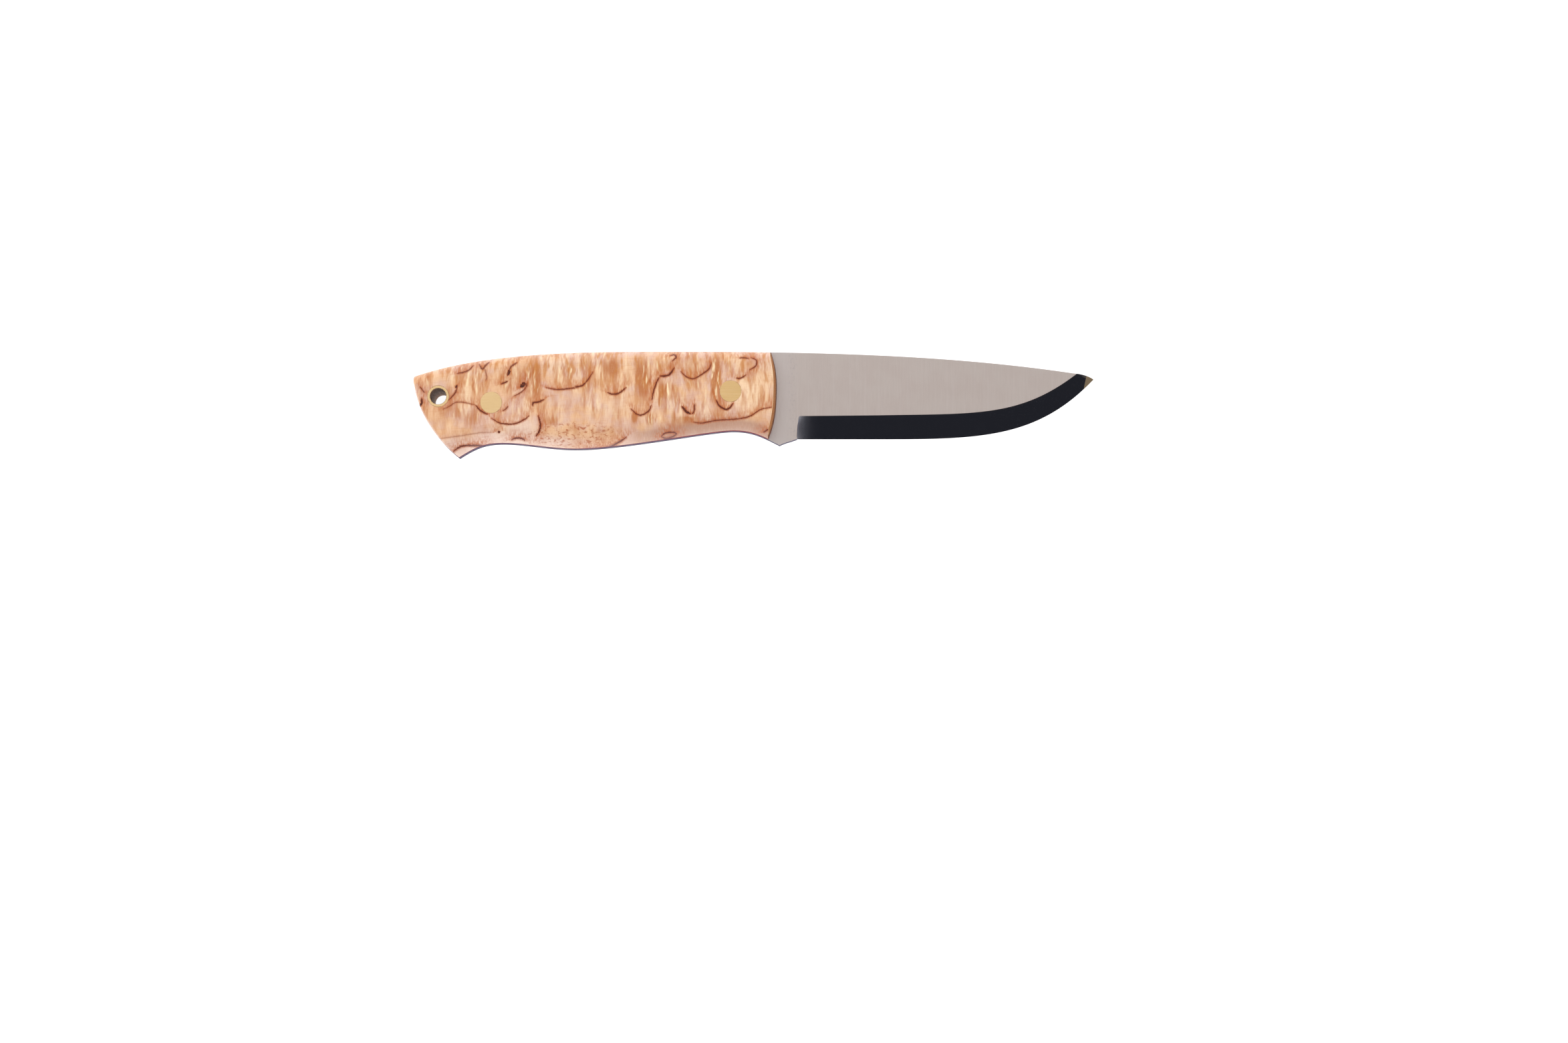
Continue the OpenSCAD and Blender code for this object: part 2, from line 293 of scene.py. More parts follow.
class Graph:
    """Short calls for a material's nodes. Vectors are in design millimetres."""

    def __init__(self, name):
        self.material = bpy.data.materials.new(name)
        self.material.use_nodes = True
        self.tree = self.material.node_tree
        self.shader = self.tree.nodes["Principled BSDF"]
        coordinates = self.add("ShaderNodeTexCoord").outputs["Object"]
        scaled = self.vector("SCALE", coordinates, scale=1 / MM)
        self.place = self.vector("SUBTRACT", scaled, tuple(HOME))
        split = self.add("ShaderNodeSeparateXYZ", Vector=self.place)
        self.x, self.y, self.z = (split.outputs[axis] for axis in "XYZ")

    def add(self, kind, **inputs):
        node = self.tree.nodes.new(kind)
        for name, value in inputs.items():
            self.feed(node.inputs[name], value)
        return node

    def feed(self, socket, value):
        if isinstance(value, bpy.types.NodeSocket):
            self.tree.links.new(value, socket)
        elif value is not None:
            socket.default_value = value

    def math(self, operation, a, b=None, c=None, clamp=False):
        node = self.tree.nodes.new("ShaderNodeMath")
        node.operation = operation
        node.use_clamp = clamp
        for socket, value in zip(node.inputs, (a, b, c)):
            self.feed(socket, value)
        return node.outputs[0]

    def plus(self, a, b):
        return self.math("ADD", a, b)

    def minus(self, a, b):
        return self.math("SUBTRACT", a, b)

    def times(self, a, b):
        return self.math("MULTIPLY", a, b)

    def vector(self, operation, a, b=None, scale=None):
        node = self.tree.nodes.new("ShaderNodeVectorMath")
        node.operation = operation
        self.feed(node.inputs[0], a)
        self.feed(node.inputs[1], b)
        if scale is not None:
            self.feed(node.inputs["Scale"], scale)
        return node.outputs["Value"] if operation in ("LENGTH", "DISTANCE") else node.outputs["Vector"]

    def remap(self, value, low, high, to_low=0.0, to_high=1.0, kind="SMOOTHSTEP"):
        node = self.tree.nodes.new("ShaderNodeMapRange")
        node.interpolation_type = kind
        for name, given in zip(("Value", "From Min", "From Max", "To Min", "To Max"),
                               (value, low, high, to_low, to_high)):
            self.feed(node.inputs[name], given)
        return node.outputs["Result"]

    def noise(self, size, vector=None, detail=2.0, roughness=0.5, distortion=0.0, at=(0, 0, 0)):
        """Noise from 0 to 1 whose features are about size (x, y, z) millimetres."""
        moved = self.vector("ADD", self.place if vector is None else vector, at)
        shrunk = self.vector("DIVIDE", moved, size)
        node = self.add("ShaderNodeTexNoise", Vector=shrunk, Scale=1.0, Detail=detail,
                        Roughness=roughness, Distortion=distortion)
        return node.outputs["Fac"]

    def cells(self, size, at=(0, 0, 0)):
        """Distance from the middle of the nearest of scattered cells, which are about size millimetres."""
        moved = self.vector("ADD", self.place, at)
        node = self.add("ShaderNodeTexVoronoi", Vector=self.vector("DIVIDE", moved, size), Scale=1.0)
        return node.outputs["Distance"]

    def blend(self, factor, a, b):
        """Colour a where the factor is 0 and colour b where it is 1."""
        node = self.tree.nodes.new("ShaderNodeMix")
        node.data_type = "RGBA"
        node.clamp_factor = True
        self.feed(node.inputs["Factor"], factor)
        for socket, colour in zip(COLOUR_SOCKETS, (a, b)):
            self.feed(node.inputs[socket], colour)
        return node.outputs[COLOUR_RESULT]

    def from_axis(self, at):
        """Distance from the upright line through a place."""
        level = self.add("ShaderNodeCombineXYZ", X=self.x, Y=self.y).outputs[0]
        return self.vector("DISTANCE", level, (at[0], at[1], 0.0))

    def attribute(self, name):
        node = self.tree.nodes.new("ShaderNodeAttribute")
        node.attribute_name = name
        return node.outputs["Fac"]

    def bump(self, height, distance, strength=1.0):
        """A bump whose full height is distance millimetres."""
        node = self.add("ShaderNodeBump", Height=height, Strength=strength, Distance=distance * MM)
        return node.outputs["Normal"]

    def set(self, **inputs):
        for name, value in inputs.items():
            self.feed(self.shader.inputs[name.replace("_", " ")], value)
        return self.material


BIRCH_PINK = srgb(225, 186, 166)
BIRCH_CREAM = srgb(236, 190, 149)
BIRCH_PALE = srgb(250, 217, 180)
BIRCH_TAN = srgb(192, 123, 76)
BIRCH_OCHRE = srgb(202, 132, 66)
# The orange is grain colour and also painted shade on the pleats; the next, pale fibre colour and also a
# painted highlight on the pleats and the front rim
BIRCH_ORANGE_GRAIN_AND_SHADE = srgb(180, 98, 44)
BIRCH_HIGHLIGHT_AND_FIBRE = srgb(255, 230, 188)
BIRCH_RUST = srgb(172, 84, 36)
BIRCH_STAIN = srgb(186, 98, 40)
BIRCH_END = srgb(182, 110, 52)
BIRCH_END_DARK = srgb(92, 42, 10)
# Pale rosy colour, mostly a painted sheen on the belly rounding; then painted shade for the rounding in the
# finger groove
BIRCH_ROSE_SHEEN = srgb(238, 210, 195)
BIRCH_GROOVE_SHADE = srgb(186, 144, 122)
BARK_BROWN = srgb(112, 42, 10)
BARK_DARK = srgb(48, 20, 8)


# ---------------------------------------------------------------- steel
STEEL_PLAIN = srgb(194, 182, 176)
STEEL_CLOUD = srgb(196, 185, 179)
STEEL_LINE = srgb(178, 166, 162)
STEEL_SCRATCH = srgb(208, 199, 197)
STEEL_MOTTLE = srgb(150, 144, 146)
STEEL_RICASSO = srgb(200, 192, 190)
MIRROR = srgb(150, 152, 160)
MIRROR_RUN_OUT = srgb(176, 174, 184)
MIRROR_BORDER = srgb(150, 100, 70)
MIRROR_TIP_REFLECTION = srgb(162, 142, 114)
MIRROR_DUST = srgb(128, 130, 138)
EDGE_SHADE_DARK = srgb(108, 106, 118)
EDGE_SHADE_LIGHT = srgb(136, 133, 144)
EDGE_REFLECTION_TINT = srgb(150, 148, 165)
WHITE = (1, 1, 1, 1)


def steel_material():
    """Satin flats with a fine brushing across the blade, and a mirror-polished bevel."""
    g = Graph("steel")
    polished = g.attribute("polished")
    depth = g.minus(HALF_STEEL, g.math("ABSOLUTE", g.z))
    fine = g.noise((0.09, 5, 9), detail=3)
    coarse = g.noise((0.5, 30, 30), detail=2, at=(40, 0, 0))
    cloud = g.noise((5, 6, 18), detail=3)
    flat = g.blend(g.remap(cloud, 0.35, 0.65), STEEL_PLAIN, STEEL_CLOUD)
    flat = g.blend(g.remap(fine, 0.3, 0.7, 0, 0.16), flat, STEEL_LINE)
    flat = g.blend(g.remap(coarse, 0.45, 0.75, 0, 0.14), flat, STEEL_SCRATCH)
    # A faint upright band of grey mottling a little behind the plunge, and a paler ricasso
    band = g.minus(1.0, g.remap(g.math("ABSOLUTE", g.minus(g.x, 4.6)), 0.2, 2.2))
    mottle = g.times(band, g.remap(g.noise((0.5, 0.9, 0.9), detail=4), 0.5, 0.7, 0, 0.3))
    flat = g.blend(mottle, flat, STEEL_MOTTLE)
    flat = g.blend(g.remap(g.x, 7.0, 2.0, 0, 0.5), flat, STEEL_RICASSO)
    # The mirror: pale where the grind runs out at the plunge, dusty toward the point, and a painted bronze
    # reflection at the very tip
    streaks = g.noise((0.12, 14, 14), detail=3, at=(9, 0, 0))
    run_out = g.remap(g.x, PLUNGE_FOOT[0] + 8.0, PLUNGE_FOOT[0] - 2.5)
    run_out = g.times(run_out, g.remap(streaks, 0.3, 0.7, 0.95, 1.0))
    mirror = g.blend(run_out, MIRROR, MIRROR_RUN_OUT)
    dusty = g.remap(g.plus(g.noise((7, 7, 9)), g.remap(g.x, 40, 85, 0, 0.14)), 0.50, 0.62)
    dust = g.times(g.remap(g.cells((0.55, 0.55, 0.55)), 0.04, 0.12, 1.0, 0.0), dusty)
    dust = g.times(dust, polished)
    border = g.times(g.remap(depth, 0.07, 0.02), g.remap(g.x, 45, 75, 0, 0.35))
    # Painted reflection: a bronze patch at the very tip stands in for something brown mirrored by the bevel
    slanted = g.minus(g.x, g.times(g.y, 0.2))
    above = g.math("MULTIPLY_ADD", g.x, 0.35, g.y)
    tip_reflection = g.math("MAXIMUM", g.remap(slanted, 88.35, 88.5),
                    g.times(g.remap(g.x, 89.4, 92.0), g.remap(above, 50.2, 50.5, 0, 0.5)))
    mirror = g.blend(border, mirror, MIRROR_BORDER)
    mirror = g.blend(tip_reflection, mirror, MIRROR_TIP_REFLECTION)
    colour = g.blend(polished, flat, g.blend(dust, mirror, MIRROR_DUST))
    # Painted shade and reflection: faces turned sideways are coloured darker and lavender by their normal,
    # with a lavender specular tint, over grinding streaks along them
    facing = g.add("ShaderNodeSeparateXYZ", Vector=g.add("ShaderNodeNewGeometry").outputs["True Normal"])
    edge = g.remap(g.math("ABSOLUTE", facing.outputs["Z"]), 0.75, 0.5)
    ground = g.noise((14, 0.12, 0.12), detail=2, at=(0, 5, 5))
    colour = g.blend(edge, colour, g.blend(g.remap(ground, 0.35, 0.65), EDGE_SHADE_DARK, EDGE_SHADE_LIGHT))
    rough_mirror = g.plus(g.remap(streaks, 0.3, 0.7, 0.07, 0.08), g.times(run_out, 0.3))
    rough_mirror = g.plus(rough_mirror, g.times(g.math("MAXIMUM", tip_reflection, border), 0.4))
    roughness = g.remap(polished, 0.0, 1.0, g.remap(fine, 0.25, 0.75, 0.30, 0.44), rough_mirror, "LINEAR")
    height = g.times(fine, g.minus(1.0, g.times(polished, 0.98)))
    return g.set(Base_Color=colour, Metallic=g.minus(1.0, g.times(dust, 0.35)),
                 Roughness=roughness, Normal=g.bump(height, 0.004),
                 Specular_Tint=g.blend(edge, WHITE, EDGE_REFLECTION_TINT))


PLUNGE_CORNER = 0.4
PLUNGE_LIFT = 0.7
PLUNGE_FADE = 1.5
PLUNGE_LEAN = 0.2
PLUNGE_COLUMNS = 90
PLUNGE_CROWDING = 2.2
BEVEL_ROWS = 10
EDGE_STEPS = 150
TIP_STEPS = 24
DROP_STEPS = 8
BLADE_SMOOTH = 8


def bevel_grid():
    """The right side's bevel, as columns from the plunge to the tip of rows from the edge to its top line."""
    straight = BELLY_START[0] - PLUNGE_FOOT[0]
    plunge_run = PLUNGE_FOOT[0] + straight * np.linspace(0, 1, PLUNGE_COLUMNS)[:-1] ** PLUNGE_CROWDING
    foot = np.array([[x, 0.0] for x in plunge_run])
    top = []
    for x in plunge_run:
        point = mix(PLUNGE_TOP, BEVEL_START, (x - PLUNGE_FOOT[0]) / straight)
        short = max(0.0, 1 - (point[0] - PLUNGE_TOP[0]) / PLUNGE_CORNER)
        top.append([point[0], point[1] - PLUNGE_CORNER * (1 - math.sqrt(max(0.0, 1 - short**2)))])
    edge = np.vstack([foot, bezier(edge_curve, EDGE_STEPS, 0, EDGE_SHARE)])
    line = np.vstack([top, bezier(bevel_curve, EDGE_STEPS)])
    return edge, line


def blade_piece(material):
    """Blade and tang in one: flat sides, both bevels, the plunge and a tip whose spine thins to nothing."""
    edge, line = bevel_grid()
    tip_edge = bezier(edge_curve, TIP_STEPS, EDGE_SHARE, 1)[1:]
    tip_spine = bezier(tip_drop, TIP_STEPS, DROP_SHARE, 1)[1:]
    blank = chain(choil[::-1], handle_belly[::-1], butt_line[::-1], spine_line,
                  bezier(tip_drop, DROP_STEPS, 0, DROP_SHARE))
    rows = BEVEL_ROWS + 1
    tip_width = np.linalg.norm(BEVEL_END - edge[-1])
    points, faces = [], []

    def one_side(sign):
        first = len(points)
        outline = [(x, y, sign * HALF_STEEL) for x, y in blank]
        points.extend(outline)
        grid = first + len(blank)
        columns = [(e, l, HALF_STEEL) for e, l in zip(edge, line)]
        columns += [(e, s, HALF_STEEL * np.linalg.norm(s - e) / tip_width)
                    for e, s in zip(tip_edge, tip_spine)]
        for e, l, z in columns:
            for j in range(rows):
                t = j / BEVEL_ROWS
                x, y = mix(e, l, t)
                fade = math.exp(-(x - mix(PLUNGE_FOOT, PLUNGE_TOP, t)[0]) / PLUNGE_FADE)
                points.append((x, y, sign * z * (t + PLUNGE_LIFT * fade * t * (1 - t))))
        top = [grid + i * rows + BEVEL_ROWS for i in range(len(edge))]
        # The flat side, from the foot of the plunge round the outline and back along the bevel's top line
        corner = len(points)
        for j in range(1, BEVEL_ROWS):
            x, y, _ = points[grid + j]
            t = j / BEVEL_ROWS
            points.append((x - 2 * PLUNGE_LEAN * math.sqrt(t * (1 - t)), y, sign * HALF_STEEL))
        wall_top = [first] + list(range(corner, corner + rows - 2)) + [top[0]]
        flat = list(range(first, first + len(blank))) + top[-2::-1] + wall_top[-2:0:-1]
        faces.append(flat)
        for j in range(BEVEL_ROWS):
            faces.append([wall_top[j], wall_top[j + 1], grid + j + 1, grid + j])
        faces.extend(grid_faces(len(columns), rows, grid))
        return first, grid, len(columns), top

    right = one_side(1)
    left = one_side(-1)
    count = len(blank)
    for k in range(count - 1):
        faces.append([right[0] + k, right[0] + k + 1, left[0] + k + 1, left[0] + k])
    for i in range(len(edge) - 1, right[2] - 1):
        a, b = i * rows + BEVEL_ROWS, (i + 1) * rows + BEVEL_ROWS
        faces.append([right[1] + a, right[1] + b, left[1] + b, left[1] + a])
    piece = make_piece("blade_steel", points, faces, material, "blade")
    drill(piece, PIN_HOLES + [(at, RELIEF_D) for at in RELIEFS_AT])
    mark_polished(piece.data)
    smooth(piece, BLADE_SMOOTH)
    return piece


POLISHED_LEAN = (0.6, 0.9995)
PLUNGE_MARGIN = 0.5


def mark_polished(mesh):
    """1 on the ground bevel's faces and 0 elsewhere, kept on the faces' own corners."""
    steepest, flattest = POLISHED_LEAN
    start = PLUNGE_FOOT[0] - PLUNGE_MARGIN
    layer = mesh.attributes.new("polished", "FLOAT", "CORNER")
    values = np.zeros(len(mesh.loops))
    for face in mesh.polygons:
        if steepest < abs(face.normal.z) < flattest and face.center.x / MM - HOME.x > start:
            values[face.loop_start:face.loop_start + face.loop_total] = 1.0
    layer.data.foreach_set("value", values)


# ---------------------------------------------------------------- birch
# Dark flecks on the right scale: (strength, half-width in mm, its points in mm). Each one's stain lies on the
# left of its direction.
RIGHT_FLECKS = [
    (0.7, 0.16, [(-105.4, 14.7), (-103.9, 12.8)]),
    (0.9, 0.34, [(-104.8, 11.3), (-104.8, 9.8), (-105.4, 8.7)]),
    (0.8, 0.20, [(-94.2, 15.1), (-94.9, 12.8), (-96.8, 10.6)]),
    (0.9, 0.30, [(-94.3, 15.2), (-94.8, 14.2)]),
    (0.6, 0.12, [(-98.6, 7.9), (-96.6, 8.8), (-94.6, 10.0), (-91.9, 9.9), (-88.9, 9.2)]),
    (0.9, 0.22, [(-88.9, 9.2), (-87.2, 7.4), (-85.2, 6.4)]),
    (0.7, 0.18, [(-80.9, 7.4), (-79.9, 8.0), (-79.2, 8.9)]),
    (0.7, 0.22, [(-94.5, 18.5), (-91.2, 19.4), (-89.5, 21.2)]),
    (0.7, 0.26, [(-88.0, 21.5), (-86.9, 19.9), (-86.0, 21.0), (-84.9, 22.2)]),
    (0.5, 0.14, [(-86.2, 20.0), (-85.6, 17.6), (-85.9, 16.4)]),
    (0.9, 0.42, [(-79.5, 17.9), (-79.0, 19.0), (-79.2, 19.6)]),
    (0.7, 0.22, [(-79.0, 19.6), (-78.2, 20.8), (-76.6, 21.9)]),
    (0.8, 0.24, [(-81.4, 15.4), (-80.4, 15.8), (-79.3, 16.3)]),
    (1.0, 0.62, [(-75.7, 14.4), (-74.8, 15.2), (-74.4, 16.0)]),
    (0.7, 0.16, [(-73.7, 16.2), (-73.9, 14.6), (-75.4, 13.0), (-77.6, 11.8)]),
    (0.8, 0.26, [(-72.0, 8.8), (-71.8, 9.9), (-70.3, 10.1), (-68.5, 10.9)]),
    (0.8, 0.20, [(-84.2, 5.3), (-81.4, 3.8), (-77.6, 3.6), (-74.6, 4.8), (-73.0, 6.1)]),
    (0.9, 0.26, [(-70.4, 6.2), (-69.7, 3.6), (-70.0, 1.5), (-71.2, 0.0)]),
    (0.8, 0.18, [(-68.2, 14.4), (-64.9, 13.8), (-60.3, 14.2), (-57.3, 15.1), (-55.5, 17.0), (-54.2, 19.1)]),
    (0.9, 0.22, [(-59.6, 14.7), (-57.6, 14.9), (-56.3, 15.9)]),
    (0.8, 0.24, [(-50.0, 12.9), (-48.4, 12.4), (-46.4, 12.8), (-44.3, 14.5)]),
    (0.8, 0.22, [(-43.0, 8.1), (-41.4, 6.6), (-39.8, 6.2), (-37.8, 7.4), (-36.9, 9.2)]),
    (0.9, 0.18, [(-36.8, 10.6), (-36.3, 13.2), (-35.4, 16.0), (-34.4, 17.8)]),
    (1.0, 0.26, [(-34.6, 17.8), (-32.8, 17.8), (-31.4, 18.5), (-30.1, 20.4)]),
    (0.8, 0.24, [(-31.5, 23.9), (-30.3, 24.3), (-29.7, 23.4), (-30.9, 22.2)]),
    (0.8, 0.18, [(-28.4, 19.2), (-26.6, 17.6), (-24.6, 17.0), (-22.4, 18.1), (-19.9, 20.0), (-19.3, 21.9)]),
    (1.0, 0.34, [(-28.0, 8.9), (-26.8, 7.4), (-25.3, 6.5)]),
    (0.8, 0.22, [(-25.3, 6.5), (-24.4, 7.2), (-24.1, 9.6)]),
    (0.9, 0.26, [(-17.9, 10.8), (-16.9, 9.0), (-15.0, 7.9), (-13.8, 8.4), (-12.8, 9.8)]),
    (0.7, 0.22, [(-11.1, 23.2), (-9.6, 23.3), (-8.2, 23.0)]),
    (0.8, 0.16, [(-7.6, 23.4), (-6.0, 22.5), (-6.1, 20.9), (-8.1, 19.5)]),
    (0.8, 0.20, [(-12.0, 17.2), (-10.7, 17.1), (-8.9, 18.2)]),
    (0.8, 0.14, [(-24.6, 4.2), (-22.0, 4.0), (-17.5, 4.8), (-11.5, 5.2), (-7.7, 6.0), (-4.6, 7.9),
                 (-0.4, 8.8)]),
    (0.9, 0.17, [(-34.2, 0.3), (-32.8, 1.2), (-30.6, 1.4), (-29.4, 1.1)]),
    (0.9, 0.17, [(-29.4, 1.1), (-30.8, 0.4), (-32.8, -0.1), (-34.2, 0.3)]),
    (0.9, 0.18, [(-57.5, -3.1), (-53.0, -3.0), (-49.0, -2.3), (-46.1, -1.1), (-44.3, 0.0)]),
    (0.9, 0.22, [(-95.7, -4.4), (-93.2, -2.8), (-89.5, -2.3), (-86.0, -2.1)]),
    (0.9, 0.20, [(-78.6, -0.7), (-76.8, -0.3), (-75.2, -0.5), (-74.4, -1.0)]),
    (0.9, 0.30, [(-82.4, 1.3), (-81.6, 1.4)]),
    (0.3, 0.12, [(-99.4, -0.8), (-93.4, 0.1), (-88.0, 1.0), (-84.0, 1.2)]),
    (0.9, 0.16, [(-4.0, 1.5), (-3.0, 1.9), (-2.5, 2.3)]),
]

# Soft patches on the right scale: (x, y, half-width, half-height, amount), tan above 0 and pale below 0
RIGHT_PATCHES = [
    (-103.5, 18.0, 2.0, 2.0, 0.6), (-98.8, 19.6, 2.4, 2.0, 0.5), (-97.0, 12.4, 1.6, 3.2, 0.6),
    (-95.0, 7.6, 7.5, 3.0, 0.5), (-89.6, 4.6, 3.4, 2.6, 0.5), (-92.8, -3.9, 2.6, 0.7, 1.4),
    (-87.4, 16.5, 2.6, 5.5, 0.45), (-78.6, 17.0, 4.0, 6.0, 0.6), (-73.2, 18.0, 1.4, 6.5, 0.5),
    (-71.2, 17.0, 1.8, 7.5, 1.0), (-65.0, 19.5, 1.0, 5.0, 0.7), (-61.5, 20.0, 0.9, 4.0, 0.6),
    (-57.0, 22.5, 4.0, 2.0, -0.5), (-48.9, 20.4, 3.1, 3.9, 0.95), (-44.5, 20.5, 1.6, 4.0, -0.6),
    (-39.8, 17.0, 2.2, 8.0, 1.05), (-32.9, 13.5, 2.8, 3.6, 0.8), (-31.8, 20.8, 2.4, 2.5, 0.6),
    (-24.5, 20.6, 3.6, 2.4, -0.7), (-17.9, 17.0, 1.8, 8.0, 1.2), (-13.9, 20.0, 1.6, 3.6, 0.6),
    (-8.0, 21.4, 2.0, 1.6, 0.6), (-20.8, 10.0, 2.4, 6.0, -0.1), (-8.0, 12.5, 6.0, 7.0, -0.7),
    (-41.9, 5.6, 1.0, 1.8, 1.1), (-37.2, 4.9, 0.9, 2.2, 1.1), (-27.0, 4.7, 2.6, 1.2, 1.2),
    (-30.5, 5.8, 0.7, 2.2, 0.9), (-34.6, 10.0, 0.5, 1.6, 0.9), (-54.1, 7.0, 0.9, 2.6, 0.9),
    (-14.0, 2.4, 10.0, 2.2, 1.2), (-26.5, 1.2, 6.0, 2.4, 1.0), (-58.0, 8.5, 3.2, 3.2, 0.4),
    (-64.5, 9.0, 2.0, 3.0, 0.3), (-66.8, 4.4, 2.4, 1.8, 0.8), (-78.0, 1.2, 6.0, 3.4, -0.9),
    (-99.0, 3.0, 4.0, 2.0, -0.3), (-92.0, 11.5, 1.6, 3.5, -0.7), (-60.0, 2.4, 3.0, 1.6, 0.5),
    (-52.0, 1.4, 4.0, 1.8, 0.5), (-49.0, 8.0, 5.0, 3.0, -0.4), (-104.5, 4.0, 2.0, 3.5, 0.5),
    (-101.5, 0.6, 2.0, 2.0, 0.5), (-83.0, 11.5, 2.4, 3.0, -0.4),
]

# Where pleat shading is painted on the right scale, a highlight on one flank of each fold and shade on the
# other: (x, y, half-width, half-height, amount)
RIGHT_PLEAT_SHADING = [
    (-32.9, 13.8, 3.0, 4.4, 1.0), (-38.0, 17.5, 2.0, 7.0, 0.8), (-24.3, 21.0, 4.5, 2.6, 0.6),
    (-18.0, 16.5, 2.2, 8.0, 0.9), (-33.5, 21.0, 2.6, 2.4, 0.7), (-62.0, 19.5, 5.0, 4.0, 0.7),
    (-72.5, 17.0, 3.0, 6.5, 0.9), (-79.0, 14.5, 3.0, 3.5, 0.6), (-89.5, 16.0, 4.0, 5.0, 0.8),
    (-13.5, 20.5, 2.0, 3.0, 0.6), (-36.5, 5.0, 4.0, 2.5, 0.6), (-51.0, 8.0, 5.0, 3.0, 0.35),
]

# Where pale rosy colour is painted, given the same way: mostly a painted sheen along the belly, with some
# pale wood higher up
RIGHT_ROSE_SHEEN = [
    (-75.8, 1.6, 5.0, 3.2, 1.0), (-88.0, -1.6, 9.0, 2.0, 0.9), (-97.0, -2.6, 4.0, 1.6, 0.7),
    (-81.0, 9.6, 2.4, 2.0, 0.4), (-9.0, 3.2, 6.0, 1.2, 0.4), (-47.0, 10.0, 3.0, 2.0, 0.35),
    (-62.0, -1.5, 8.0, 1.4, 0.4),
]


def spline(points, steps=14):
    """A smooth curve through the points."""
    points = np.asarray(points, float)
    if len(points) == 2:
        return mix(points[0], points[1], np.linspace(0, 1, steps)[:, None])
    ends = np.vstack([2 * points[0] - points[1], points, 2 * points[-1] - points[-2]])
    out = []
    for a, b, c, d in zip(ends, ends[1:], ends[2:], ends[3:]):
        for t in np.linspace(0, 1, steps, endpoint=False):
            out.append(0.5 * (2 * b + (c - a) * t + (2 * a - 5 * b + 4 * c - d) * t**2
                              + (3 * b - a - 3 * c + d) * t**3))
    return np.vstack([out, points[-1:]])


def spine_y(x):
    return np.interp(x, spine_line[:, 0], spine_line[:, 1])


def belly_y(x):
    return np.interp(x, handle_belly[:, 0], handle_belly[:, 1])


def butt_x(y):
    return np.interp(y, butt_line[::-1, 1], butt_line[::-1, 0])


def plan(u, v, inset=0.0):
    """A scale's plan: u runs from its front to the butt and v from the spine to the belly."""
    spine_x = mix(SCALE_TOP_X, BUTT_TOP[0], u)
    belly_x = mix(SCALE_FOOT_X, HOOK_TIP[0], u)
    butt_bow = butt_x(mix(BUTT_TOP[1], HOOK_TIP[1], v)) - mix(BUTT_TOP[0], HOOK_TIP[0], v)
    front_bow = FRONT_BULGE * (1 - np.abs(2 * v - 1) ** FRONT_POWER)
    x = mix(spine_x, belly_x, v) + u**BUTT_FADE * butt_bow + (1 - u) ** BULGE_FADE * front_bow
    y = mix(spine_y(spine_x) - inset, belly_y(belly_x) + inset, v)
    return x, y


def corner(steps):
    """A rounded corner from the liner to the flat side, as shares of its width and of the scale's height."""
    start = math.asin((ROUND_SINK / (1 + ROUND_SINK)) ** (ROUND_POWER / 2))
    angle = mix(start, math.pi / 2, np.linspace(0, 1, steps + 1))
    reach = math.cos(start) ** (2 / ROUND_POWER)
    across = 1 - np.abs(np.cos(angle)) ** (2 / ROUND_POWER) / reach
    return across, (1 + ROUND_SINK) * np.sin(angle) ** (2 / ROUND_POWER) - ROUND_SINK


STATIONS = 400
CORNER_ROWS = 24
SIDE_ROWS = 56
BUTT_ROWS = 6
FRONT_EDGE = 0.25
LINER_LEAN = 0.16
CROWN = 0.15


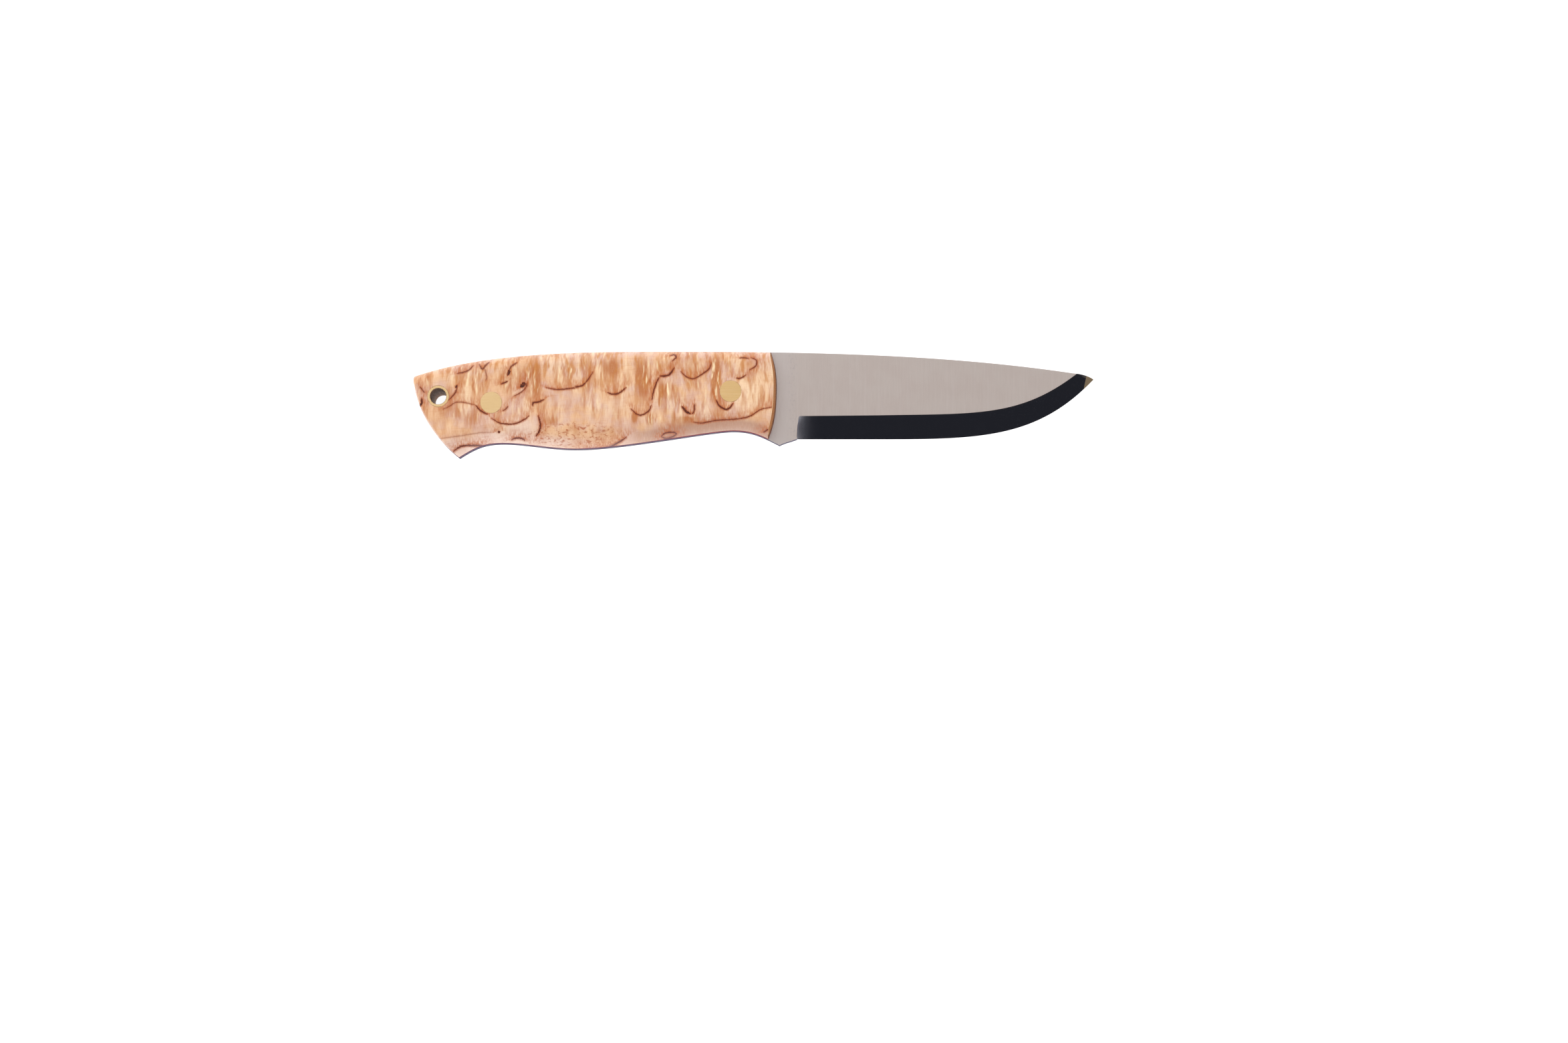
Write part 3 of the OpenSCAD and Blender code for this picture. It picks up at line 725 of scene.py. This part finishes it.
def scale_piece(name, side, material, node):
    """A birch scale: a skin of stations over a flat base. side is 1 on the right and -1 on the left."""
    butt_share = BUTT_ROUND / HANDLE_LENGTH
    front_share = FRONT_EDGE / HANDLE_LENGTH
    turn = np.linspace(0, math.pi / 2, BUTT_ROWS + 1)
    u = np.concatenate([front_share * (1 - np.cos(turn[::2])),
                        np.linspace(front_share, 1 - butt_share, STATIONS)[1:-1],
                        1 - butt_share * (1 - np.sin(turn))])
    share = np.concatenate([1 - FRONT_EDGE / SCALE_HEIGHT * (1 - np.sin(turn[::2])),
                            np.ones(STATIONS - 2),
                            1 - BUTT_ROUND / SCALE_HEIGHT * (1 - np.cos(turn))])
    across, rise = corner(CORNER_ROWS)
    points = []
    for ui, si in zip(u, share):
        top = plan(ui, np.array(0.0))
        foot = plan(ui, np.array(1.0))
        width = math.hypot(top[0] - foot[0], top[1] - foot[1])
        middle = np.linspace(SPINE_ROUND / width, 1 - BELLY_ROUND / width, SIDE_ROWS + 1)
        v = np.concatenate([across[:-1] * SPINE_ROUND / width, middle,
                            1 - across[-2::-1] * BELLY_ROUND / width])
        z = np.concatenate([rise[:-1], np.ones(SIDE_ROWS + 1), rise[-2::-1]])
        x, y = plan(ui, v, LINER_LEAN)
        near = np.clip((x - FRONT_FLAT_X) / -FRONT_FLAT_X, 0, None)
        height = z * (si * (SCALE_HEIGHT - FRONT_TAPER * near**2) - CROWN * (2 * v - 1) ** 2)
        x = x - FRONT_SLOPE * (1 - ui) ** SLOPE_FADE * z
        points += zip(x, y, side * (SCALE_BASE + height))
    n = len(v)
    rows = len(u)
    faces = grid_faces(rows, n)
    base = len(points)
    for row in (0, rows - 1):
        points += [(x, y, side * SCALE_BASE) for x, y, z in points[row * n + 1:row * n + n - 1]]
    front = [0] + list(range(base, base + n - 2)) + [n - 1]
    back = [(rows - 1) * n] + list(range(base + n - 2, base + 2 * n - 4)) + [rows * n - 1]
    # The front slopes back as it rises, so its foot is straight under the scale's plan
    x, y = plan(0.0, v, LINER_LEAN)
    for j in range(n):
        points[front[j]] = (x[j], y[j], points[front[j]][2])
    for j in range(n - 1):
        faces.append([j, j + 1, front[j + 1], front[j]])
        faces.append([(rows - 1) * n + j, (rows - 1) * n + j + 1, back[j + 1], back[j]])
    faces.append(front + [i * n + n - 1 for i in range(1, rows - 1)] + back[::-1]
                 + [i * n for i in range(rows - 2, 0, -1)])
    piece = make_piece(name, points, faces, material, node)
    drill(piece, PIN_HOLES)
    if side > 0:
        draw_marks(piece.data, RIGHT_FLECKS, RIGHT_PATCHES, RIGHT_PLEAT_SHADING, RIGHT_ROSE_SHEEN)
    else:
        draw_marks(piece.data, *map(turned_round, (RIGHT_FLECKS, RIGHT_PATCHES, RIGHT_PLEAT_SHADING, RIGHT_ROSE_SHEEN)))
    smooth(piece, 32)
    return piece


HANDLE_WAIST = 11.0


def turned_round(marks):
    """The same flecks or spots turned end for end about the middle of the handle, for the left scale."""
    def turned(x, y):
        return -HANDLE_LENGTH - x, 2 * HANDLE_WAIST - y
    if isinstance(marks[0][-1], list):
        return [(power, width, [turned(*point) for point in points]) for power, width, points in marks]
    return [(*turned(x, y), *rest) for x, y, *rest in marks]


REACH = 5.0
FLECK_SCALE = 0.8
FLECK_SWELL = 1.25
FLECK_TAPER = 0.6
STAIN_REACH = 2.2
STAIN_BACK = 0.4


def draw_marks(mesh, flecks, patches, pleat_shading, rose_sheen_spots):
    """Stores what the birch's shader draws with, for each vertex.

    fleck_across is the signed distance from the nearest fleck's middle line. fleck_width is the half-width
    there, and is below 0 beyond the fleck's ends. fleck_gap is how far the fleck's edge is, and fleck_power
    is its strength. stain and patch are the amounts of those at the vertex, pleat_shade that of the painted
    pleat highlight and shade, and rose_sheen that of the painted sheen and pale rosy wood.
    """
    co = np.zeros(len(mesh.vertices) * 3)
    mesh.vertices.foreach_get("co", co)
    place = co.reshape(-1, 3)[:, :2] / MM - np.array(HOME)[:2]
    start = {"fleck_across": REACH, "fleck_width": -1.0, "fleck_gap": REACH, "fleck_power": 0.0,
             "stain": 0.0, "patch": 0.0, "pleat_shade": 0.0, "rose_sheen": 0.0}
    values = {name: np.full(len(place), value) for name, value in start.items()}
    for power, half, knots in flecks:
        line = spline(knots)
        low, high = line.min(0) - REACH, line.max(0) + REACH
        near = np.where(((place > low) & (place < high)).all(1))[0]
        if not len(near):
            continue
        a, along = line[:-1], np.diff(line, axis=0)
        raw = ((place[near][:, None] - a) * along).sum(2) / (along**2).sum(1)
        t = np.clip(raw, 0, 1)
        offset = place[near][:, None] - (a + t[..., None] * along)
        distance = np.hypot(offset[..., 0], offset[..., 1])
        best = distance.argmin(1)
        pick = np.arange(len(near)), best
        d, at = distance[pick], offset[pick]
        side = np.where(along[best, 0] * at[:, 1] - along[best, 1] * at[:, 0] < 0, -1.0, 1.0)
        share = (best + t[pick]) / len(a)
        width = FLECK_SCALE * half * np.clip(FLECK_SWELL * np.sin(math.pi * share) ** FLECK_TAPER, 0.0, 1)
        beyond = ((best == 0) & (raw[pick] < 0)) | ((best == len(a) - 1) & (raw[pick] > 1))
        width = np.where(beyond, -d, width)
        gap = d - half
        closer = gap < values["fleck_gap"][near]
        chosen = near[closer]
        for name, given in (("fleck_across", side * d), ("fleck_width", width), ("fleck_gap", gap)):
            values[name][chosen] = given[closer]
        values["fleck_power"][chosen] = power
        behind = np.where(side > 0, 1.0, np.exp(-(d / STAIN_BACK) ** 2))
        glow = power * np.exp(-(d / STAIN_REACH) ** 2) * behind
        values["stain"][near] = np.maximum(values["stain"][near], glow)
    for layer, spots in (("patch", patches), ("pleat_shade", pleat_shading), ("rose_sheen", rose_sheen_spots)):
        for x, y, wide, tall, amount in spots:
            fall = np.exp(-(np.abs(place[:, 0] - x) / wide) ** 3 - ((place[:, 1] - y) / tall) ** 2)
            values[layer] += amount * fall
    for name, given in values.items():
        mesh.attributes.new(name, "FLOAT", "POINT").data.foreach_set("value", given)


def birch_material():
    """Oiled curly birch: flames across the handle with painted pleat highlights and shade, tan patches, fine
    grain, dark flecks, and painted sheen and shade on the belly rounding.
    """
    g = Graph("birch")
    sway = g.times(g.minus(g.noise((9, 16, 12), detail=1), 0.5), 2.4)
    bent = g.add("ShaderNodeCombineXYZ", X=g.plus(g.x, sway), Y=g.y, Z=g.z).outputs[0]
    upper = g.remap(g.y, 1.0, 9.0)
    # Broad colour: pink to yellow cream
    colour = g.blend(g.remap(g.noise((6, 5, 7), detail=3, at=(5, 3, 0)), 0.38, 0.62), BIRCH_PINK, BIRCH_CREAM)
    # Straight-sided tan patches and flame bands
    ragged = g.noise((1.3, 12, 9), vector=bent, detail=2, roughness=0.6, at=(2, 2, 2))
    patch = g.math("MULTIPLY_ADD", g.minus(ragged, 0.5), 1.1, g.attribute("patch"))
    colour = g.blend(g.remap(patch, -0.1, -0.8, 0, 0.9), colour, BIRCH_PALE)
    colour = g.blend(g.remap(patch, 0.15, 0.9), colour, BIRCH_TAN)
    strong = g.times(g.remap(g.noise((8, 9, 10), detail=1, at=(8, 1, 2)), 0.36, 0.58), upper)
    amount = g.math("MULTIPLY_ADD", strong, 0.4, 0.15)
    bands = g.noise((2.3, 14, 12), vector=bent, detail=1, at=(3, 0, 0))
    colour = g.blend(g.times(g.remap(bands, 0.50, 0.38), amount), colour, BIRCH_TAN)
    colour = g.blend(g.times(g.remap(bands, 0.52, 0.66), amount), colour, BIRCH_PALE)
    ochre = g.remap(g.noise((1.6, 5, 9), vector=bent, detail=2, at=(7, 7, 0)), 0.46, 0.68)
    colour = g.blend(g.times(ochre, g.remap(g.y, 6.0, 24.0, 0.25, 0.85)), colour, BIRCH_OCHRE)
    # Pleats: a painted highlight on one flank of each fold and painted shade on the other, taken from the
    # slope of the noise
    pleat_shading = g.math("MAXIMUM", g.times(strong, 0.6), g.remap(g.attribute("pleat_shade"), 0.2, 0.8))
    folds, flank = (g.noise((1.5, 6, 8), vector=bent, detail=2, at=(1 + shift, 0, 5)) for shift in (0, 0.4))
    fold_lighting = g.minus(folds, flank)
    colour = g.blend(g.times(g.remap(fold_lighting, 0.0, -0.16, 0, 0.8), pleat_shading), colour, BIRCH_ORANGE_GRAIN_AND_SHADE)
    colour = g.blend(g.times(g.remap(fold_lighting, 0.04, 0.18, 0, 0.9), pleat_shading), colour, BIRCH_HIGHLIGHT_AND_FIBRE)
    # Painted light on the belly's rounding, picked by its normal: a rosy painted sheen toward the butt, added
    # to by the rose spots, and painted shade in the finger groove
    facing = g.add("ShaderNodeSeparateXYZ", Vector=g.add("ShaderNodeNewGeometry").outputs["Normal"])
    rounding_light = g.times(g.remap(facing.outputs["Z"], 0.97, 0.6),
                       g.remap(facing.outputs["Y"], 0.0, -0.2))
    rosy_sheen = g.times(rounding_light, g.remap(g.x, -48.0, -76.0, 0.1, 0.8))
    rosy_sheen = g.math("MAXIMUM", rosy_sheen, g.times(g.attribute("rose_sheen"), 0.8))
    colour = g.blend(rosy_sheen, colour, BIRCH_ROSE_SHEEN)
    colour = g.blend(g.times(rounding_light, g.remap(g.x, -48.0, -34.0, 0.0, 0.9)), colour, BIRCH_GROOVE_SHADE)
    # Fine fibres across the handle and fine wavy grain along it
    fibres = g.noise((0.16, 1.4, 4), vector=bent, detail=3)
    colour = g.blend(g.remap(fibres, 0.5, 0.8, 0, 0.28), colour, BIRCH_ORANGE_GRAIN_AND_SHADE)
    colour = g.blend(g.remap(fibres, 0.48, 0.25, 0, 0.16), colour, BIRCH_HIGHLIGHT_AND_FIBRE)
    rise = g.times(g.minus(g.noise((4, 9, 9), detail=2, at=(1, 9, 4)), 0.5), 1.6)
    rise = g.math("MULTIPLY_ADD", g.x, -0.05, rise)
    level = g.add("ShaderNodeCombineXYZ", X=g.x, Y=g.plus(g.y, rise), Z=g.z).outputs[0]
    grain = g.noise((5, 0.26, 3), vector=level, detail=2, roughness=0.6)
    calm = g.minus(1.0, g.times(pleat_shading, 0.8))
    colour = g.blend(g.times(g.remap(grain, 0.50, 0.82, 0, 0.26), calm), colour, BIRCH_ORANGE_GRAIN_AND_SHADE)
    # Rust-coloured speckle low on the side, about the palm swell
    across_palm = g.math("DIVIDE", g.plus(g.x, 60.0), 17.0)
    up_palm = g.math("DIVIDE", g.minus(g.y, 0.5), 4.5)
    palm = g.plus(g.times(across_palm, across_palm), g.times(up_palm, up_palm))
    palm = g.remap(palm, 1.0, 0.3)
    rust = g.remap(g.noise((1.3, 1.0, 1.0), detail=3, roughness=0.6, distortion=0.5, at=(2, 7, 1)), 0.5, 0.68)
    colour = g.blend(g.times(g.times(rust, palm), 0.75), colour, BIRCH_RUST)
    # Dark flecks, feathered along the fibres, each with a stain on one side
    blotchy = g.remap(g.noise((0.4, 1.6, 2), detail=3, at=(4, 4, 4)), 0.25, 0.7)
    stain = g.times(g.attribute("stain"), blotchy)
    colour = g.blend(stain, colour, BIRCH_STAIN)
    warp = g.times(g.minus(g.noise((0.6, 0.7, 0.6), detail=3), 0.5), 0.32)
    d = g.math("ABSOLUTE", g.plus(g.attribute("fleck_across"), warp))
    hairs = g.remap(g.noise((0.16, 0.5, 0.8), detail=2, at=(3, 8, 0)), 0.3, 0.75, 0.7, 1.4)
    outside = g.minus(d, g.times(g.attribute("fleck_width"), hairs))
    real = g.times(g.remap(g.attribute("fleck_gap"), 0.45, 0.75, 1.0, 0.0),
                   g.attribute("fleck_power"))
    rim = g.times(g.remap(outside, 0.0, 0.55, 1.0, 0.0), real)
    colour = g.blend(g.times(rim, 0.75), colour, BIRCH_RUST)
    core = g.math("MULTIPLY", g.remap(outside, -0.06, 0.12, 1.15, 0.0), real, clamp=True)
    depth = g.remap(g.noise((0.3, 0.5, 0.9), detail=2, at=(6, 2, 8)), 0.42, 0.6)
    depth = g.times(depth, g.remap(g.attribute("fleck_width"), 0.12, 0.3))
    colour = g.blend(core, colour, g.blend(depth, BARK_BROWN, BARK_DARK))
    # The front face: a painted highlight along its rim, and bare end grain that darkens toward the liner
    front = g.remap(facing.outputs["X"], 0.72, 0.92)
    # Painted highlight on the rounded front rim
    rim_highlight = g.times(g.remap(facing.outputs["X"], 0.3, 0.5), g.remap(g.x, -6.0, -3.0))
    colour = g.blend(g.times(rim_highlight, 0.6), colour, BIRCH_HIGHLIGHT_AND_FIBRE)
    above_liner = g.minus(g.math("ABSOLUTE", g.z), SCALE_BASE)
    end_grain = g.blend(g.remap(above_liner, 0.5, 0.5 * SCALE_HEIGHT), BIRCH_END_DARK, BIRCH_END)
    pores = g.noise((2, 0.35, 0.22), detail=3, roughness=0.7, at=(0, 2, 6))
    end_grain = g.blend(g.remap(pores, 0.45, 0.62, 0, 0.45), end_grain, BIRCH_END_DARK)
    end_grain = g.blend(g.remap(pores, 0.48, 0.3, 0, 0.35), end_grain, BIRCH_CREAM)
    colour = g.blend(g.times(front, 0.92), colour, end_grain)
    # A hairline of glue round each pin and the tube
    for at in (FRONT_PIN_AT, REAR_PIN_AT, TUBE_AT):
        from_pin = g.from_axis(at)
        glue = g.times(g.remap(from_pin, PIN_D / 2 + 0.12, PIN_D / 2 + 0.03),
                       g.remap(g.noise((1.8, 1.8, 2), detail=2), 0.42, 0.6, 0.1, 0.8))
        colour = g.blend(glue, colour, BARK_BROWN)
    roughness = g.plus(g.remap(bands, 0.3, 0.7, 0.46, 0.36), g.times(front, 0.35))
    height = g.minus(g.times(fibres, 0.4), core)
    return g.set(Base_Color=colour, Roughness=roughness, Normal=g.bump(height, 0.03, 0.5),
                 Specular_IOR_Level=0.3)


# ---------------------------------------------------------------- liners, pins and tube
FIBRE_DARK = srgb(104, 18, 38)
FIBRE_RED = srgb(146, 32, 56)
FIBRE_PURPLE_GREY = srgb(112, 76, 98)


def fibre_material():
    """Dark red vulcanised fibre, crimson near the blade and greyer purple toward the butt."""
    g = Graph("fibre")
    flock = g.noise((0.25, 0.25, 0.12), detail=3)
    colour = g.blend(flock, FIBRE_DARK, FIBRE_RED)
    colour = g.blend(g.remap(g.x, -24.0, -36.0, 0, 0.75), colour, FIBRE_PURPLE_GREY)
    return g.set(Base_Color=colour, Roughness=g.remap(flock, 0.3, 0.7, 0.5, 0.65), Normal=g.bump(flock, 0.02),
                 Specular_IOR_Level=0.1)


LINER_END_POINTS = 61


def liner_piece(name, side, material, node):
    """A sheet whose edge leans in by LINER_LEAN from the tang to the wood."""
    across = np.linspace(0, 1, LINER_END_POINTS)
    along = np.linspace(0, 1, STATIONS)
    rings = []
    for inset, z in ((0.0, HALF_STEEL), (LINER_LEAN, SCALE_BASE)):
        ring = [plan(0.0, v, inset) for v in across]
        ring += [plan(u, 1.0, inset) for u in along[1:]]
        ring += [plan(1.0, v, inset) for v in across[-2::-1]]
        ring += [plan(u, 0.0, inset) for u in along[-2:0:-1]]
        rings.append([(float(x), float(y), side * z) for x, y in ring])
    count = len(rings[0])
    faces = [list(range(count)), list(range(2 * count - 1, count - 1, -1))]
    faces += [[k, (k + 1) % count, count + (k + 1) % count, count + k] for k in range(count)]
    piece = make_piece(name, rings[0] + rings[1], faces, material, node)
    drill(piece, PIN_HOLES)
    smooth(piece, 25)
    return piece


BRASS_LINE = srgb(219, 182, 124)
BRASS = srgb(232, 196, 142)
BRASS_SCRATCH = srgb(244, 216, 176)
BRASS_PALE = srgb(240, 214, 172)
BRASS_BURR = srgb(112, 84, 60)
BORE_DARK = srgb(112, 80, 60)
BORE_LIGHT = srgb(176, 134, 104)
BORE_TINT = srgb(186, 150, 124)


def brass_material():
    """Brass sanded along the handle, with burrs on the tube's rims, and brown inside its bore."""
    g = Graph("brass")
    lines = g.noise((7, 0.09, 5), detail=3)
    long_scratch = g.noise((12, 0.3, 5), detail=2, at=(3, 3, 3))
    colour = g.blend(g.remap(lines, 0.3, 0.7), BRASS_LINE, BRASS)
    colour = g.blend(g.remap(long_scratch, 0.6, 0.75, 0, 0.3), colour, BRASS_SCRATCH)
    colour = g.blend(g.remap(g.x, -30.0, -80.0, 0, 0.3), colour, BRASS_PALE)
    from_tube = g.from_axis(TUBE_AT)
    inside = g.remap(from_tube, TUBE_BORE / 2 + 0.09, TUBE_BORE / 2 + 0.02)
    rims = g.math("MAXIMUM", g.remap(from_tube, TUBE_BORE / 2 + 0.3, TUBE_BORE / 2 + 0.05),
                  g.times(g.remap(from_tube, PIN_D / 2 - 0.25, PIN_D / 2 - 0.02),
                          g.remap(from_tube, PIN_D / 2 + 1, PIN_D / 2 + 0.5)))
    burrs = g.times(rims, g.remap(g.noise((0.28, 0.28, 2), detail=2), 0.55, 0.62))
    colour = g.blend(g.times(burrs, 0.8), colour, BRASS_BURR)
    soot = g.noise((0.5, 0.5, 4), detail=3)
    colour = g.blend(inside, colour, g.blend(soot, BORE_DARK, BORE_LIGHT))
    roughness = g.plus(g.remap(lines, 0.3, 0.7, 0.34, 0.42), g.times(inside, 0.1))
    return g.set(Base_Color=colour, Metallic=g.remap(inside, 0, 1, 1, 0.4), Roughness=roughness,
                 Normal=g.bump(lines, 0.006),
                 Specular_Tint=g.blend(inside, WHITE, BORE_TINT))


CHAMFER = 0.04
BORE_CHAMFER = 0.06


def pin_piece(name, at, material, node):
    r, z = PIN_D / 2, HALF_HANDLE
    rim = [(r - CHAMFER, z), (r - 0.3 * CHAMFER, z - 0.3 * CHAMFER), (r, z - CHAMFER)]
    inner = [(s * (r - CHAMFER), z) for s in (0, 0.35, 0.7)]
    profile = inner + rim + [(radius, -height) for radius, height in rim[::-1] + inner[::-1]]
    points, faces = lathe(profile, at)
    piece = make_piece(name, points, faces, material, node)
    smooth(piece, 20)
    return piece


def tube_piece(material):
    r, bore, z = PIN_D / 2, TUBE_BORE / 2, HALF_HANDLE
    half = [(bore, 0.0), (bore, z - BORE_CHAMFER), (bore + BORE_CHAMFER, z), (r - CHAMFER, z),
            (r, z - CHAMFER)]
    profile = half + [(radius, -height) for radius, height in half[:0:-1]]
    points, faces = lathe(profile, TUBE_AT)
    piece = make_piece("lanyard_tube_brass", points, faces, material, "lanyard_tube")
    smooth(piece, 20)
    return piece


# ---------------------------------------------------------------- the stage
# Places and sizes of the stage are in metres
FLOOR_REACH = 3.0
FLOOR_GREY = (0.45, 0.45, 0.45, 1)
FLOOR_ROUGHNESS = 0.9
FLOOR_SPECULAR = 0.1
FLOOR_GLOW = 0.95
CARD_LOW = (-0.28, -0.80)
CARD_HIGH = (1.30, -0.17)
CARD_HEIGHT = 0.9
CARD_COLOUR = (0.045, 0.046, 0.055, 1)
SOFTBOX_AT = (-0.6, 0.9, 1.1)
SOFTBOX_SIZE = 1.2
SOFTBOX_WATTS = 6.2
WORLD_COLOUR = (1.0, 0.99, 0.985, 1)
WORLD_STRENGTH = 0.9


def sheet(name, low, high, height):
    """A level sheet of the stage between two corners."""
    mesh = bpy.data.meshes.new(name)
    corners = [(low[0], low[1]), (high[0], low[1]), (high[0], high[1]), (low[0], high[1])]
    mesh.from_pydata([(x, y, height) for x, y in corners], [], [(0, 1, 2, 3)])
    piece = bpy.data.objects.new(name, mesh)
    bpy.context.scene.collection.objects.link(piece)
    material = bpy.data.materials.new(name)
    material.use_nodes = True
    mesh.materials.append(material)
    return piece, material.node_tree


def floor_piece():
    """A pale floor lit evenly from within, like a light table."""
    floor, tree = sheet("floor", (-FLOOR_REACH, -FLOOR_REACH), (FLOOR_REACH, FLOOR_REACH), 0)
    shader = tree.nodes["Principled BSDF"]
    shader.inputs["Base Color"].default_value = FLOOR_GREY
    shader.inputs["Roughness"].default_value = FLOOR_ROUGHNESS
    shader.inputs["Specular IOR Level"].default_value = FLOOR_SPECULAR
    shader.inputs["Emission Color"].default_value = WHITE
    shader.inputs["Emission Strength"].default_value = FLOOR_GLOW


def black_card():
    """A dark card over the knife's edge side, seen only in reflections: a mirror-polished bevel shows it."""
    card, tree = sheet("black_card", CARD_LOW, CARD_HIGH, CARD_HEIGHT)
    tree.nodes.clear()
    glow = tree.nodes.new("ShaderNodeEmission")
    glow.inputs["Color"].default_value = CARD_COLOUR
    out = tree.nodes.new("ShaderNodeOutputMaterial")
    tree.links.new(glow.outputs[0], out.inputs["Surface"])
    card.visible_camera = False
    card.visible_diffuse = False
    card.visible_shadow = False
    card.visible_transmission = False


def softbox():
    """One large soft light behind the knife, on its butt side."""
    data = bpy.data.lights.new("softbox", "AREA")
    data.shape = "RECTANGLE"
    data.size = data.size_y = SOFTBOX_SIZE
    data.energy = SOFTBOX_WATTS
    light = bpy.data.objects.new("softbox", data)
    light.location = SOFTBOX_AT
    light.rotation_euler = (-Vector(SOFTBOX_AT)).to_track_quat("-Z", "Y").to_euler()
    bpy.context.scene.collection.objects.link(light)


def world():
    scene = bpy.context.scene
    scene.world = bpy.data.worlds.new("studio")
    scene.world.use_nodes = True
    background = scene.world.node_tree.nodes["Background"]
    background.inputs["Color"].default_value = WORLD_COLOUR
    background.inputs["Strength"].default_value = WORLD_STRENGTH


# The camera's distance and the width that it sees are in metres, and its aim in design millimetres
CAMERA_DISTANCE = 1.2
CAMERA_ELEVATION = 85.5
VIEW_WIDTH = 0.4657
AIM = (2.2, -24.5, 0.0)
SENSOR_WIDTH = 36.0
CLIP_NEAR, CLIP_FAR = 0.01, 20


def camera():
    target = Vector(in_frame(AIM))
    angle = math.radians(CAMERA_ELEVATION)
    data = bpy.data.cameras.new("camera")
    data.sensor_width = SENSOR_WIDTH
    data.lens = data.sensor_width * CAMERA_DISTANCE / VIEW_WIDTH
    data.clip_start = CLIP_NEAR
    data.clip_end = CLIP_FAR
    view = bpy.data.objects.new("camera", data)
    view.location = target + CAMERA_DISTANCE * Vector((0, -math.cos(angle), math.sin(angle)))
    view.rotation_euler = (target - view.location).to_track_quat("-Z", "Y").to_euler()
    bpy.context.scene.collection.objects.link(view)
    bpy.context.scene.camera = view


# ---------------------------------------------------------------- the scene
camera()
world()
floor_piece()
black_card()
softbox()
bpy.context.scene.view_settings.view_transform = "Standard"

steel, birch, fibre, brass = steel_material(), birch_material(), fibre_material(), brass_material()
blade_piece(steel)
scale_piece("right_scale_birch", 1, birch, "right_scale")
scale_piece("left_scale_birch", -1, birch, "left_scale")
liner_piece("right_liner_fibre", 1, fibre, "right_liner")
liner_piece("left_liner_fibre", -1, fibre, "left_liner")
pin_piece("front_pin_brass", FRONT_PIN_AT, brass, "front_pin")
pin_piece("rear_pin_brass", REAR_PIN_AT, brass, "rear_pin")
tube_piece(brass)
